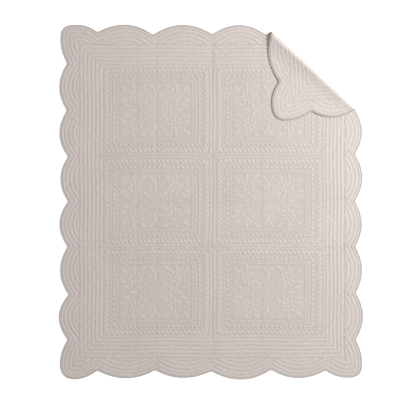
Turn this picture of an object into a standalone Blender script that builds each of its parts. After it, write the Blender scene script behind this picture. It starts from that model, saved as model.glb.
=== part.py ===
"""A quilted throw with scalloped edges, lying flat with its top right corner turned over.

The cloth is laid out flat first. Its stitched lines and the puffed channels between them are lines
with a height, joined by triangles. The corner is then turned over by bending the cloth about a
slanting line. Metres, with the reverse of the cloth on z = 0.
"""

import math
from collections import namedtuple

import bmesh
import bpy
import numpy as np
from mathutils import Vector
from mathutils.geometry import delaunay_2d_cdt

# Size over the furthest scallops.
WIDTH = 1.524
LENGTH = 1.778

# Thickness of the layers at a stitched line, and how far a channel puffs up on each side of them.
STITCHED = 0.0026
FACE_PUFF = 0.0022
BACK_PUFF = 0.0014

# The binding: its width, its cloth and its thickness at the edge. The quilt's edge inside it is
# pressed thinner and keeps clear of it.
BINDING_WIDTH = 0.0070
BINDING_CLOTH = 0.0010
BINDING_THICK = 0.0046
BINDING_ROUND = 0.0010
CLEARANCE = 0.0004
EDGE_STEP = 0.0014

# Spacing of the stitched lines, how far the straight ones start from the cloth's outermost line,
# and how many channels the scalloped and the straight part of the border have.
PITCH = 0.0205
BASE_INSET = 0.1030
SCALLOP_CHANNELS = 5
STRAIGHT_CHANNELS = 5

# Echo lines stop this far short of the straight ones, and nearer than this share of their own
# distance to the edge they would cross themselves.
LINE_GAP = 0.0060
ECHO_SHARE = 0.985

# Steps along each scallop and round each corner, how far from its middle a valley is cut off, and
# how much deeper it would be if it were not.
CROWN_SAMPLES = 6
VALLEY_ROUND = 0.012
VALLEY_SHARPEN = 0.006
CORNER_SAMPLES = 6

# How far straight lines of stitching wander, and over what length.
WANDER = 0.0016
WANDER_LENGTH = 0.43
WANDER_TURN = 1.3

# Where the corner is turned over: the direction of the fold, the distance of its outermost line from
# the middle of the cloth, and where along that line its two ends are.
FOLD_ANGLE = math.radians(-42.94)
FOLD_REACH = 0.8333
FOLD_START = -0.350
FOLD_END = 0.217

# The fold is fuller at its upper end. After the bend the cloth sinks in a long curve onto the face.
FOLD_RADIUS_START = 0.0100
FOLD_RADIUS_END = 0.0060
SINK_RADIUS = 0.090
FLAP_GAP = 0.0007
BEND_STEPS = 7
SINK_STEPS = 2

QUILT_COLOUR = (0.62, 0.55, 0.51, 1.0)
BINDING_COLOUR = (0.56, 0.49, 0.45, 1.0)
QUILT_ROUGHNESS = 0.92
BINDING_ROUGHNESS = 0.88

# The valleys between scallops along each side, clockwise from the top left corner, and the crown of
# the scallop that follows each. A side's last valley starts its corner, so it has no crown.
Scallop = namedtuple("Scallop", "valley_along valley_inset crown_inset")

TOP = (
    Scallop(-0.569, 0.0316, 0.0000),
    Scallop(-0.291, 0.0456, 0.0010),
    Scallop(0.007, 0.0423, 0.0015),
    Scallop(0.274, 0.0446, 0.0010),
    Scallop(0.563, 0.0400, None),
)
RIGHT = (
    Scallop(0.690, 0.0360, 0.0040),
    Scallop(0.461, 0.0350, 0.0050),
    Scallop(0.241, 0.0346, 0.0030),
    Scallop(0.003, 0.0356, 0.0060),
    Scallop(-0.223, 0.0331, 0.0050),
    Scallop(-0.456, 0.0303, 0.0000),
    Scallop(-0.689, 0.0316, None),
)
BOTTOM = (
    Scallop(0.575, 0.0401, 0.0075),
    Scallop(0.302, 0.0441, 0.0000),
    Scallop(0.002, 0.0356, 0.0085),
    Scallop(-0.279, 0.0416, 0.0065),
    Scallop(-0.569, 0.0396, None),
)
LEFT = (
    Scallop(-0.689, 0.0386, 0.0000),
    Scallop(-0.463, 0.0436, 0.0065),
    Scallop(-0.223, 0.0386, 0.0035),
    Scallop(0.003, 0.0406, 0.0085),
    Scallop(0.228, 0.0406, 0.0030),
    Scallop(0.459, 0.0351, 0.0025),
    Scallop(0.694, 0.0366, None),
)

# The four corner petals. Each has two crowns: one on the top or bottom side, one on the left or
# right side. squareness is the power of the curve that joins them.
Corner = namedtuple("Corner", "level_along level_inset upright_along upright_inset squareness")

TOP_RIGHT = Corner(0.672, 0.0020, 0.812, 0.0040, 2.6)
BOTTOM_RIGHT = Corner(0.678, 0.0095, -0.801, 0.0055, 3.2)
BOTTOM_LEFT = Corner(-0.682, 0.0015, -0.809, 0.0055, 2.4)
TOP_LEFT = Corner(-0.667, 0.0010, 0.814, 0.0085, 3.2)

# The two columns and three rows of quilted blocks.
Span = namedtuple("Span", "low high")

COLUMNS = (Span(-0.556, -0.006), Span(0.012, 0.556))
ROWS = (Span(0.243, 0.681), Span(-0.221, 0.220), Span(-0.681, -0.237))

# Rectangles inside each block, as insets from its left, right, bottom and top edge. puff is 0 on a
# stitched line and 1 on a full ridge.
Frame = namedtuple("Frame", "left right bottom top puff")

FRAMES = (
    Frame(0.000, 0.000, 0.000, 0.000, 0.00),
    Frame(0.011, 0.010, 0.009, 0.010, 0.75),
    Frame(0.041, 0.028, 0.025, 0.033, 0.75),
    Frame(0.052, 0.038, 0.034, 0.043, 0.00),
    Frame(0.068, 0.053, 0.049, 0.058, 0.85),
    Frame(0.084, 0.068, 0.064, 0.073, 0.00),
    Frame(0.096, 0.080, 0.076, 0.085, 0.35),
)
FRAME_SAMPLES = 2
BORDER_SAMPLES = 5

# Flowers near the panel's corners, as shares of the panel's half width and half height, and the
# leaves between them.
Flower = namedtuple("Flower", "across up turn")
Leaf = namedtuple("Leaf", "across up angle length")

FLOWERS = (
    Flower(-0.60, 0.56, 0.10),
    Flower(0.58, 0.58, 0.45),
    Flower(-0.58, -0.57, 0.70),
    Flower(0.60, -0.54, 0.25),
)
LEAVES = (
    Leaf(0.00, 0.74, 0.25, 0.085),
    Leaf(0.00, -0.74, 0.30, 0.080),
    Leaf(-0.74, 0.00, 1.40, 0.075),
    Leaf(0.74, 0.00, 1.75, 0.078),
)
PETALS = 5
PETAL_LENGTH = 0.027
PETAL_WIDTH = 0.018
PETAL_REACH = 0.022
LEAF_WIDTH = 0.024
MOTIF_RIM_PUFF = 0.10
MOTIF_CREST_PUFF = 1.0

# The hatched lozenge in the middle of each panel.
LOZENGE_HALF_WIDTH = 0.078
LOZENGE_HALF_HEIGHT = 0.046
LOZENGE_RIDGES = 5

# Two points of the drawing closer than this are one.
SAME_POINT = 1e-6
CUT_SNAP = 5e-5

Line = namedtuple("Line", "points puff closed")


def place_on_side(along, inset, outward, along_axis, half):
    """The plan point at a distance along a side and in from the cloth's outermost line there."""
    point = [0.0, 0.0]
    point[along_axis] = along
    point[1 - along_axis] = outward * (half - inset)
    return tuple(point)


def side_points(rows, outward, along_axis, half, valley_round):
    """Points of one side from its first valley to its last, each crown a parabola."""
    points = []
    for row, following in zip(rows, rows[1:]):
        span = following.valley_along - row.valley_along
        edge = 1.0 - 2.0 * valley_round / abs(span)
        for share in np.linspace(-edge, edge, CROWN_SAMPLES + 1):
            valley = (row if share < 0.0 else following).valley_inset + VALLEY_SHARPEN
            inset = row.crown_inset + (valley - row.crown_inset) * share ** 2
            along = row.valley_along + span * (share + 1.0) / 2.0
            points.append(place_on_side(along, inset, outward, along_axis, half))
    return points


def corner_points(corner, level_row, upright_row, sign_x, sign_y, valley_round):
    """Points of a corner petal, from the valley on the top or bottom side to the other valley."""
    level_valley = place_on_side(level_row.valley_along, level_row.valley_inset + VALLEY_SHARPEN,
                                 sign_y, 0, LENGTH / 2.0)
    level_crown = place_on_side(corner.level_along, corner.level_inset, sign_y, 0, LENGTH / 2.0)
    upright_valley = place_on_side(upright_row.valley_along,
                                   upright_row.valley_inset + VALLEY_SHARPEN,
                                   sign_x, 1, WIDTH / 2.0)
    upright_crown = place_on_side(corner.upright_along, corner.upright_inset,
                                  sign_x, 1, WIDTH / 2.0)
    points = []
    rise_x = level_crown[0] - level_valley[0]
    rise_y = level_crown[1] - level_valley[1]
    for share in (valley_round / abs(rise_x), 0.5):
        points.append((level_valley[0] + rise_x * share,
                       level_crown[1] - rise_y * (1.0 - share) ** 2))
    reach_x = upright_crown[0] - level_crown[0]
    reach_y = level_crown[1] - upright_crown[1]
    power = 2.0 / corner.squareness
    for turn in np.linspace(0.0, math.pi / 2.0, CORNER_SAMPLES + 1):
        points.append((level_crown[0] + reach_x * math.sin(turn) ** power,
                       upright_crown[1] + reach_y * max(math.cos(turn), 0.0) ** power))
    rise_x = upright_crown[0] - upright_valley[0]
    rise_y = upright_crown[1] - upright_valley[1]
    for share in (0.5, valley_round / abs(rise_y)):
        points.append((upright_crown[0] - rise_x * (1.0 - share) ** 2,
                       upright_valley[1] + rise_y * share))
    return points


def outline(valley_round):
    """The scalloped edge of the cloth in plan, once round clockwise."""
    top = side_points(TOP, 1.0, 0, LENGTH / 2.0, valley_round)
    right = side_points(RIGHT, 1.0, 1, WIDTH / 2.0, valley_round)
    bottom = side_points(BOTTOM, -1.0, 0, LENGTH / 2.0, valley_round)
    left = side_points(LEFT, -1.0, 1, WIDTH / 2.0, valley_round)
    top_right = corner_points(TOP_RIGHT, TOP[-1], RIGHT[0], 1.0, 1.0, valley_round)
    bottom_right = corner_points(BOTTOM_RIGHT, BOTTOM[0], RIGHT[-1], 1.0, -1.0, valley_round)
    bottom_left = corner_points(BOTTOM_LEFT, BOTTOM[-1], LEFT[0], -1.0, -1.0, valley_round)
    top_left = corner_points(TOP_LEFT, TOP[0], LEFT[-1], -1.0, 1.0, valley_round)
    points = np.array(top + top_right + right + bottom_right[::-1]
                      + bottom + bottom_left + left + top_left[::-1])
    step = np.linalg.norm(points - np.roll(points, 1, axis=0), axis=1)
    return points[step > SAME_POINT]


def unit(vectors):
    """The same vectors, one unit long."""
    return vectors / np.linalg.norm(vectors, axis=1)[:, None]


def inward(edge, distance):
    """The closed edge moved inward, each point along the bisector of its two neighbours."""
    ahead = unit(np.roll(edge, -1, axis=0) - edge)
    behind = unit(edge - np.roll(edge, 1, axis=0))
    normal_ahead = np.stack([ahead[:, 1], -ahead[:, 0]], axis=1)
    normal_behind = np.stack([behind[:, 1], -behind[:, 0]], axis=1)
    bisector = unit(normal_ahead + normal_behind)
    lengthening = 1.0 / np.sum(bisector * normal_ahead, axis=1)
    return edge + bisector * (distance * lengthening)[:, None]


def distance_to_edge(points, edge):
    """The distance of each point from the nearest part of the closed edge."""
    start = edge[None, :, :]
    step = (np.roll(edge, -1, axis=0) - edge)[None, :, :]
    offset = points[:, None, :] - start
    share = np.clip(np.sum(offset * step, axis=2) / np.sum(step ** 2, axis=2), 0.0, 1.0)
    return np.min(np.linalg.norm(offset - share[:, :, None] * step, axis=2), axis=1)


def runs(points, keep):
    """The stretches of a closed line whose points are kept, each as an array, and if all are."""
    if keep.all():
        return [points], True
    start = int(np.flatnonzero(~keep)[0])
    points = np.roll(points, -start, axis=0)
    keep = np.roll(keep, -start)
    found = []
    current = []
    for point, kept in zip(points, keep):
        if kept:
            current.append(point)
        elif len(current) > 1:
            found.append(np.array(current))
            current = []
        else:
            current = []
    if len(current) > 1:
        found.append(np.array(current))
    return found, False


def wander(points):
    """The points moved a little, smoothly over the cloth, as stitching is never quite straight."""
    across = np.sin(2.0 * math.pi * points[:, 1] / WANDER_LENGTH + WANDER_TURN)
    along = np.sin(2.0 * math.pi * points[:, 0] / WANDER_LENGTH - WANDER_TURN)
    return points + WANDER * np.stack([across, along], axis=1)


def rectangle(left, right, bottom, top, samples):
    """The points of a rectangle, anticlockwise, each side cut into a number of steps."""
    corners = ((left, bottom), (right, bottom), (right, top), (left, top))
    points = []
    for index, corner in enumerate(corners):
        following = corners[(index + 1) % len(corners)]
        for share in np.arange(samples) / samples:
            points.append((corner[0] + (following[0] - corner[0]) * share,
                           corner[1] + (following[1] - corner[1]) * share))
    return wander(np.array(points))


def echo_lines(edge):
    """Stitched lines that repeat the scalloped edge further in, and the ridges between them."""
    foot = BINDING_WIDTH + CLEARANCE
    lines = [Line(inward(edge, (foot + PITCH) / 2.0), 1.0, True)]
    pointed = outline(0.0)
    half_width = WIDTH / 2.0 - BASE_INSET + LINE_GAP
    half_length = LENGTH / 2.0 - BASE_INSET + LINE_GAP
    for step in range(2, 2 * SCALLOP_CHANNELS):
        distance = PITCH * step / 2.0
        moved = inward(pointed, distance)
        outside = (np.abs(moved[:, 0]) > half_width) | (np.abs(moved[:, 1]) > half_length)
        clear = distance_to_edge(moved, pointed) > distance * ECHO_SHARE
        pieces, closed = runs(moved, outside & clear)
        for piece in pieces:
            lines.append(Line(piece, float(step % 2), closed))
    return lines


def border_lines():
    """The straight channels round the blocks: nested rectangles, stitched and ridged in turn."""
    lines = []
    for step in range(2 * STRAIGHT_CHANNELS):
        inset = BASE_INSET + PITCH * step / 2.0
        points = rectangle(inset - WIDTH / 2.0, WIDTH / 2.0 - inset,
                           inset - LENGTH / 2.0, LENGTH / 2.0 - inset, BORDER_SAMPLES)
        lines.append(Line(points, float(step % 2), True))
    return lines


def channel_lines():
    """The ridges of the channels between the blocks: one upright and two level, crossing it."""
    middle = (COLUMNS[0].high + COLUMNS[1].low) / 2.0
    levels = [(ROWS[0].low + ROWS[1].high) / 2.0, (ROWS[1].low + ROWS[2].high) / 2.0]
    top = ROWS[0].high - LINE_GAP
    bottom = ROWS[2].low + LINE_GAP
    left = COLUMNS[0].low + LINE_GAP
    right = COLUMNS[1].high - LINE_GAP
    heights = [top, (top + levels[0]) / 2.0, levels[0], (levels[0] + levels[1]) / 2.0,
               levels[1], (levels[1] + bottom) / 2.0, bottom]
    lines = [Line(wander(np.array([(middle, height) for height in heights])), 1.0, False)]
    for level in levels:
        across = [left, (left + middle) / 2.0, middle, (middle + right) / 2.0, right]
        lines.append(Line(wander(np.array([(place, level) for place in across])), 1.0, False))
    return lines


def leaf_lines(centre, angle, length, width):
    """A raised leaf or petal: a pointed outline with one ridge point in its middle."""
    along = np.array([math.cos(angle), math.sin(angle)]) * length / 2.0
    across = np.array([-math.sin(angle), math.cos(angle)]) * width / 2.0
    rim = np.array([centre - along, centre + across, centre + along, centre - across])
    return [Line(rim, MOTIF_RIM_PUFF, True), Line(np.array([centre]), MOTIF_CREST_PUFF, False)]


def flower_lines(centre, turn):
    """A raised flower: petals in a ring, a little apart."""
    lines = []
    for angle in turn + 2.0 * math.pi * np.arange(PETALS) / PETALS:
        middle = centre + PETAL_REACH * np.array([math.cos(angle), math.sin(angle)])
        lines += leaf_lines(middle, angle, PETAL_LENGTH, PETAL_WIDTH)
    return lines


def lozenge_lines(centre):
    """The hatched lozenge: an outline, and slanting ridges with stitched lines between them."""
    tips = np.array([(-LOZENGE_HALF_WIDTH, 0.0), (0.0, -LOZENGE_HALF_HEIGHT),
                     (LOZENGE_HALF_WIDTH, 0.0), (0.0, LOZENGE_HALF_HEIGHT)])
    lines = [Line(centre + tips, 0.0, True)]
    steps = 2 * LOZENGE_RIDGES
    for step in range(1, steps):
        share = step / steps
        start = tips[0] + (tips[3] - tips[0]) * share
        end = tips[1] + (tips[2] - tips[1]) * share
        inset = 1.0 / steps
        points = np.array([start + (end - start) * inset, end - (end - start) * inset])
        lines.append(Line(centre + points, float(step % 2), False))
    return lines


def block_lines(column, row):
    """Everything that is stitched inside one block."""
    lines = []
    for frame in FRAMES:
        points = rectangle(column.low + frame.left, column.high - frame.right,
                           row.low + frame.bottom, row.high - frame.top, FRAME_SAMPLES)
        lines.append(Line(points, frame.puff, True))
    panel = FRAMES[-1]
    left = column.low + panel.left
    right = column.high - panel.right
    bottom = row.low + panel.bottom
    top = row.high - panel.top
    centre = np.array([(left + right) / 2.0, (bottom + top) / 2.0])
    half = np.array([(right - left) / 2.0, (top - bottom) / 2.0])
    for flower in FLOWERS:
        lines += flower_lines(centre + half * (flower.across, flower.up), flower.turn)
    for leaf in LEAVES:
        lines += leaf_lines(centre + half * (leaf.across, leaf.up), leaf.angle,
                            leaf.length, LEAF_WIDTH)
    return lines + lozenge_lines(centre)


def fold_frame():
    """Directions along the fold and outward across it, in plan."""
    along = np.array([math.cos(FOLD_ANGLE), math.sin(FOLD_ANGLE)])
    outward = np.array([-along[1], along[0]])
    return along, outward


def fold_shape(along):
    """Radius, sink angle and start line of the fold at distances along it."""
    share = np.clip((along - FOLD_START) / (FOLD_END - FOLD_START), 0.0, 1.0)
    radius = FOLD_RADIUS_START + (FOLD_RADIUS_END - FOLD_RADIUS_START) * share
    rise = STITCHED + 2.0 * FACE_PUFF + FLAP_GAP
    sink = np.arccos((rise + SINK_RADIUS - radius) / (radius + SINK_RADIUS))
    start = FOLD_REACH - radius - STITCHED / 2.0 - BACK_PUFF
    return radius, sink, start


def turn_over(points):
    """Flat cloth points (x, y, z) moved to where they lie once the corner is turned over."""
    along_axis, outward = fold_frame()
    along = points[:, :2] @ along_axis
    radius, sink, start = fold_shape(along)
    past = points[:, :2] @ outward - start
    bend_end = radius * (math.pi + sink)
    sink_end = bend_end + SINK_RADIUS * sink
    angle = np.where(past < bend_end, past / radius,
                     math.pi + np.clip((sink_end - past) / SINK_RADIUS, 0.0, None))
    angle = np.clip(angle, 0.0, None)
    left_to_sink = np.clip(angle - math.pi, 0.0, None)
    in_bend = past < bend_end
    reach = np.where(in_bend, radius * np.sin(angle),
                     -radius * np.sin(sink) - SINK_RADIUS * (np.sin(sink) - np.sin(left_to_sink)))
    lift = np.where(in_bend, radius * (1.0 - np.cos(angle)),
                    radius * (1.0 + np.cos(sink))
                    - SINK_RADIUS * (np.cos(left_to_sink) - np.cos(sink)))
    reach = reach - np.clip(past - sink_end, 0.0, None)
    reach = np.where(past > 0.0, reach, past)
    lift = np.where(past > 0.0, lift, 0.0)
    height = points[:, 2] - STITCHED / 2.0
    across = start + reach - height * np.sin(angle)
    up = STITCHED / 2.0 + lift + height * np.cos(angle)
    plan = along[:, None] * along_axis + across[:, None] * outward
    return np.column_stack([plan, up])


def past_fold(points):
    """How far plan points lie past the line where the bend has clearly begun."""
    along_axis, outward = fold_frame()
    radius, sink, start = fold_shape(points @ along_axis)
    return points @ outward - start - LINE_GAP


def fade_back(points):
    """Flat cloth points with the reverse puffing only where the bend has turned it off the floor."""
    radius, sink, start = fold_shape(points[:, :2] @ fold_frame()[0])
    past = past_fold(points[:, :2]) + LINE_GAP
    share = np.clip(past / (radius * math.pi), 0.0, 1.0)
    faded = points.copy()
    faded[:, 2] = np.where(points[:, 2] < 0.0,
                           points[:, 2] * share ** 2 * (3.0 - 2.0 * share), points[:, 2])
    return faded


def turned_part(line):
    """The stretches of a line that lie past the start of the bend, cut off just there."""
    points = line.points
    if len(points) == 1:
        return [line] if past_fold(points)[0] > 0.0 else []
    ends = np.roll(points, -1, axis=0) if line.closed else points[1:]
    starts = points[:len(ends)]
    before = past_fold(starts)
    after = past_fold(ends)
    pieces = []
    current = []
    for start, end, low, high in zip(starts, ends, before, after):
        if low > 0.0:
            current.append(start)
        if (low > 0.0) != (high > 0.0):
            current.append(start + (end - start) * low / (low - high))
        if high <= 0.0 and current:
            pieces.append(current)
            current = []
    if current and not line.closed:
        current.append(ends[-1])
    if current:
        joined = line.closed and pieces and before[0] > 0.0
        if joined:
            pieces[0] = current + pieces[0]
        else:
            pieces.append(current)
    closed = line.closed and bool((before > 0.0).all())
    return [Line(np.array(piece), line.puff, closed) for piece in pieces]


def triangulate(lines, heights):
    """Triangles over the drawing of lines, with each point's height.

    Returns the plan points with heights, the triangles, and for each drawn point its new number.
    """
    plan = []
    edges = []
    for line in lines:
        first = len(plan)
        count = len(line.points)
        plan += [Vector((float(x), float(y))) for x, y in line.points]
        edges += [(first + index, first + index + 1) for index in range(count - 1)]
        if line.closed:
            edges.append((first + count - 1, first))
    result = delaunay_2d_cdt(plan, edges, [], 1, SAME_POINT)
    vertices, faces, sources = result[0], result[2], result[3]
    numbers = {}
    points = []
    for index, vertex in enumerate(vertices):
        own = [heights[source] for source in sources[index]]
        points.append((vertex.x, vertex.y, own[0] if own else math.nan))
        for source in sources[index]:
            numbers[source] = index
    return np.array(points), [tuple(face) for face in faces], numbers


def fill_crossings(points, faces):
    """Heights for points where two drawn lines cross: the average of their neighbours."""
    missing = set(np.flatnonzero(np.isnan(points[:, 2])).tolist())
    for index in sorted(missing):
        near = {corner for face in faces if index in face for corner in face} - missing
        points[index, 2] = np.mean([points[corner, 2] for corner in near])
    return points


def quilt_rings(edge):
    """Three rings at the cloth's edge: its end, the foot of the step, and the step's head."""
    foot = BINDING_WIDTH + CLEARANCE
    return [inward(edge, BINDING_ROUND + BINDING_CLOTH), inward(edge, foot),
            inward(edge, foot + EDGE_STEP)]


def face_side(edge, inner):
    """The upper side of the flat cloth."""
    rings = quilt_rings(edge)[:2]
    pressed = BINDING_THICK - BINDING_CLOTH - CLEARANCE
    heights = []
    for ring in rings:
        heights += [pressed] * len(ring)
    for line in inner:
        heights += [STITCHED + FACE_PUFF * line.puff] * len(line.points)
    drawing = [Line(ring, 0.0, True) for ring in rings] + inner
    points, faces, numbers = triangulate(drawing, heights)
    return fill_crossings(points, faces), faces, numbers


def back_side(edge, inner):
    """The lower side of the flat cloth: plain where it will rest, puffed on the part turned over."""
    rings = quilt_rings(edge)
    pressed = BINDING_CLOTH + CLEARANCE
    drawing = [Line(ring, 0.0, True) for ring in rings]
    heights = []
    for ring, height in zip(rings, (pressed, pressed, 0.0)):
        heights += [height] * len(ring)
    for line in inner:
        for piece in turned_part(line):
            drawing.append(piece)
            heights += [-BACK_PUFF * piece.puff] * len(piece.points)
    points, faces, numbers = triangulate(drawing, heights)
    return fill_crossings(points, faces), faces, numbers


def quilt_shell(edge):
    """Points and faces of the flat quilt, closed all round."""
    inner = echo_lines(edge) + border_lines() + channel_lines()
    for row in ROWS:
        for column in COLUMNS:
            inner += block_lines(column, row)
    face_points, face_faces, face_numbers = face_side(edge, inner)
    back_points, back_faces, back_numbers = back_side(edge, inner)
    shift = len(face_points)
    points = np.vstack([face_points, back_points])
    faces = list(face_faces)
    faces += [tuple(shift + corner for corner in reversed(face)) for face in back_faces]
    count = len(edge)
    for index in range(count):
        following = (index + 1) % count
        faces.append((face_numbers[index], face_numbers[following],
                      shift + back_numbers[following], shift + back_numbers[index]))
    return points, faces


def binding_shell(edge):
    """Points and faces of the flat binding: a folded strip closed round the edge of the quilt."""
    inner_end = BINDING_ROUND + BINDING_CLOTH - CLEARANCE
    section = (
        (BINDING_WIDTH, 0.0),
        (BINDING_ROUND, 0.0),
        (0.0, BINDING_THICK / 2.0),
        (BINDING_ROUND, BINDING_THICK),
        (BINDING_WIDTH, BINDING_THICK),
        (BINDING_WIDTH, BINDING_THICK - BINDING_CLOTH),
        (inner_end, BINDING_THICK - BINDING_CLOTH),
        (inner_end, BINDING_CLOTH),
        (BINDING_WIDTH, BINDING_CLOTH),
    )
    rows = []
    for inset, height in section:
        ring = inward(edge, inset)
        rows.append(np.column_stack([ring, np.full(len(ring), height)]))
    count = len(edge)
    faces = []
    for row in range(len(section)):
        next_row = (row + 1) % len(section)
        for index in range(count):
            following = (index + 1) % count
            faces.append((row * count + index, row * count + following,
                          next_row * count + following, next_row * count + index))
    return np.vstack(rows), faces


def cut_for_bend(mesh):
    """Cuts the mesh along lines beside the fold, so that it can bend there."""
    along_axis, outward = fold_frame()
    ends = np.array([FOLD_START, FOLD_END])
    radius, sink, start = fold_shape(ends)
    steps = []
    for step in range(BEND_STEPS + 1):
        steps.append(start + radius * (math.pi + sink) * step / BEND_STEPS)
    for step in range(1, SINK_STEPS + 1):
        steps.append(start + radius * (math.pi + sink) + SINK_RADIUS * sink * step / SINK_STEPS)
    for reach in steps:
        near = along_axis * ends[0] + outward * reach[0]
        far = along_axis * ends[1] + outward * reach[1]
        across = Vector((near[1] - far[1], far[0] - near[0], 0.0)).normalized()
        everything = mesh.verts[:] + mesh.edges[:] + mesh.faces[:]
        bmesh.ops.bisect_plane(mesh, geom=everything, dist=CUT_SNAP,
                               plane_co=Vector((near[0], near[1], 0.0)), plane_no=across)


def folded_mesh(points, faces):
    """The closed flat shape cut, triangulated and turned over at its corner."""
    mesh = bmesh.new()
    corners = [mesh.verts.new(point) for point in points]
    for face in faces:
        mesh.faces.new([corners[index] for index in face])
    bmesh.ops.triangulate(mesh, faces=mesh.faces[:])
    cut_for_bend(mesh)
    bmesh.ops.triangulate(mesh, faces=mesh.faces[:])
    flat = np.array([vertex.co[:] for vertex in mesh.verts])
    for vertex, place in zip(mesh.verts, turn_over(fade_back(flat))):
        vertex.co = place
    bmesh.ops.recalc_face_normals(mesh, faces=mesh.faces[:])
    return mesh


def add_object(name, mesh, colour, roughness, shift):
    """Makes a named object of the shape, with its own material."""
    bmesh.ops.translate(mesh, vec=shift, verts=mesh.verts[:])
    data = bpy.data.meshes.new(name)
    mesh.to_mesh(data)
    mesh.free()
    material = bpy.data.materials.new(name)
    material.use_nodes = True
    shader = material.node_tree.nodes["Principled BSDF"]
    shader.inputs["Base Color"].default_value = colour
    shader.inputs["Roughness"].default_value = roughness
    data.materials.append(material)
    made = bpy.data.objects.new(name, data)
    bpy.context.scene.collection.objects.link(made)


def main():
    """Builds the quilt and its binding, centred on the origin."""
    for old in list(bpy.data.objects):
        bpy.data.objects.remove(old)
    edge = outline(VALLEY_ROUND)
    quilt = folded_mesh(*quilt_shell(edge))
    binding = folded_mesh(*binding_shell(edge))
    rim = np.array([vertex.co[:] for vertex in binding.verts])
    middle = (rim.min(axis=0) + rim.max(axis=0)) / 2.0
    shift = Vector((-middle[0], -middle[1], 0.0))
    add_object("quilt", quilt, QUILT_COLOUR, QUILT_ROUGHNESS, shift)
    add_object("binding", binding, BINDING_COLOUR, BINDING_ROUGHNESS, shift)


main()
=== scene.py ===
# %% [markdown]
# # A quilted throw with scalloped edges and a turned-over corner
#
# The real thing is one piece of layered cotton: a face, thin wadding and a reverse, stitched through
# in channels and motifs, with a narrow bias binding round its scalloped edge. It lies flat, seen from
# straight above, and its top right corner is turned over onto the face.
#
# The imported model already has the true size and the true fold. This lesson puts finer cloth on it.

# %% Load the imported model
import math
from collections import namedtuple

import bmesh
import bpy
import numpy as np
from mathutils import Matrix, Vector


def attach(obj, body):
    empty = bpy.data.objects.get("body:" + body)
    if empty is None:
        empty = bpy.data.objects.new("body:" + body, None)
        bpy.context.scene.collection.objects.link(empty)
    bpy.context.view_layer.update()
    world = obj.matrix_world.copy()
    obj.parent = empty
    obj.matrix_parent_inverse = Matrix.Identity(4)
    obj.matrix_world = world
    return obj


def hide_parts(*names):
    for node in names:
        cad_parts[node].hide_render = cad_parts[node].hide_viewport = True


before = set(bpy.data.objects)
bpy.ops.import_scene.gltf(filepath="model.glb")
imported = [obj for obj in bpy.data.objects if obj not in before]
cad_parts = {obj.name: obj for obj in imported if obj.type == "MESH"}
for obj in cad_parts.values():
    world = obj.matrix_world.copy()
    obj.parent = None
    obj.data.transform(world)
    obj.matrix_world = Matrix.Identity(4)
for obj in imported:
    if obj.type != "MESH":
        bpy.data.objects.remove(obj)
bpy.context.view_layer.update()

# %% [markdown]
# ## Sizes
#
# A learner can think of the throw as flat cloth first, drawn in metres with its middle at zero. Every
# stitched line has a place on that flat cloth, and only at the end is the corner bent over. The
# thickness at a stitched line, the height of a puffed channel and the pitch of the lines are those of
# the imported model, so that the finer cloth lies on it.

# %% Sizes of the cloth and its channels
WIDTH, LENGTH = 1.524, 1.778
STITCHED = 0.0026
FACE_PUFF = 0.0022
BACK_PUFF = 0.0014
UNEVEN = 0.22
PITCH = 0.0205
CHANNELS = 5
BINDING_WIDTH = 0.0070
BINDING_THICK = 0.0046
BINDING_CLOTH = 0.0010
CLEARANCE = 0.0004
FOOT = BINDING_WIDTH + CLEARANCE
PRESSED = BINDING_THICK - BINDING_CLOTH - CLEARANCE

# For each side, given as axis and direction: where the cloth's outermost line, the base line of the
# scallops and the edge of the blocks lie.
HALVES = (WIDTH / 2.0, LENGTH / 2.0)
BASE = {(0, -1): 0.6620, (0, 1): 0.6656, (1, -1): 0.7815, (1, 1): 0.7860}
INNER = {(0, -1): 0.5619, (0, 1): 0.5704, (1, -1): 0.6811, (1, 1): 0.6866}

Scallop = namedtuple("Scallop", "along valley crown")
TOP = (Scallop(-0.569, 0.0316, 0.0000), Scallop(-0.291, 0.0456, 0.0010),
       Scallop(0.007, 0.0423, 0.0015), Scallop(0.274, 0.0446, 0.0010), Scallop(0.563, 0.0400, None))
BOTTOM = (Scallop(-0.569, 0.0396, 0.0065), Scallop(-0.279, 0.0416, 0.0085),
          Scallop(0.002, 0.0356, 0.0000), Scallop(0.302, 0.0441, 0.0075), Scallop(0.575, 0.0401, None))
RIGHT = (Scallop(-0.689, 0.0316, 0.0000), Scallop(-0.456, 0.0303, 0.0050),
         Scallop(-0.223, 0.0331, 0.0060), Scallop(0.003, 0.0356, 0.0030),
         Scallop(0.241, 0.0346, 0.0050), Scallop(0.461, 0.0350, 0.0040), Scallop(0.690, 0.0360, None))
LEFT = (Scallop(-0.689, 0.0386, 0.0000), Scallop(-0.463, 0.0436, 0.0065),
        Scallop(-0.223, 0.0386, 0.0035), Scallop(0.003, 0.0406, 0.0085),
        Scallop(0.228, 0.0406, 0.0030), Scallop(0.459, 0.0351, 0.0025), Scallop(0.694, 0.0366, None))
VALLEY_SHARPEN = 0.006

Petal = namedtuple("Petal", "level_along level_inset upright_along upright_inset squareness")
CORNERS = {
    (1, 1): (Petal(0.672, 0.0020, 0.812, 0.0040, 2.6), TOP[-1], RIGHT[-1]),
    (1, -1): (Petal(0.678, 0.0095, 0.801, 0.0055, 3.2), BOTTOM[-1], RIGHT[0]),
    (-1, -1): (Petal(0.682, 0.0015, 0.809, 0.0055, 2.4), BOTTOM[0], LEFT[0]),
    (-1, 1): (Petal(0.667, 0.0010, 0.814, 0.0085, 3.2), TOP[0], LEFT[-1]),
}
print("channels", 2 * CHANNELS, "pitch", PITCH)

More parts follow.
